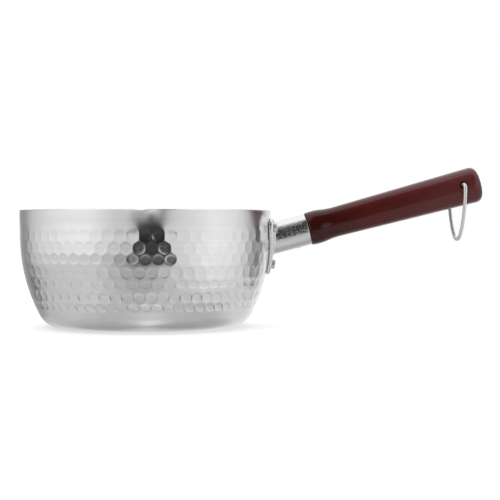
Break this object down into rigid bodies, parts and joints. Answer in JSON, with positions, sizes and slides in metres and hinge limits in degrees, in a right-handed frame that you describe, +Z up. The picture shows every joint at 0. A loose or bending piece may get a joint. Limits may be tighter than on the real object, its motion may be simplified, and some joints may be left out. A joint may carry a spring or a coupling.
{
  "type": "saucepan",
  "caption": "Hammered aluminium saucepan with pouring lips, a riveted steel handle socket, a turned lacquered wooden handle and a swinging wire hanging ring.",
  "frame": {"origin": "middle of the flat underside of the bowl, on the surface it stands on", "axes": "+Z up, +X from the bowl towards the end of the handle, +Y to the left of the handle"},
  "size_m": [0.3416, 0.1886, 0.1175],
  "materials": {
    "hammered_aluminium": "hammered outside with plain turned bands, satin inside",
    "chromed_steel": "bright plated",
    "rivet_aluminium": "plain",
    "lacquered_wood": "dark red-brown gloss lacquer over fine grain",
    "steel_wire": "satin"
  },
  "bodies": {
    "pan": {"pan_body": "hammered_aluminium", "socket_plate": "chromed_steel", "rivet_upper_near": "rivet_aluminium", "rivet_upper_far": "rivet_aluminium", "rivet_lower": "rivet_aluminium", "socket_tube": "chromed_steel", "wooden_handle": "lacquered_wood", "handle_screw": "steel_wire"},
    "ring": {"hanging_ring": "steel_wire"}
  },
  "joints": [
    {"name": "ring_swing", "type": "hinge", "parent": "pan", "child": "ring", "pos_m": [0.23133, 0, 0.10451], "axis": [-0.1564, 0.9877, 0], "range_deg": [-266, 44]}
  ]
}
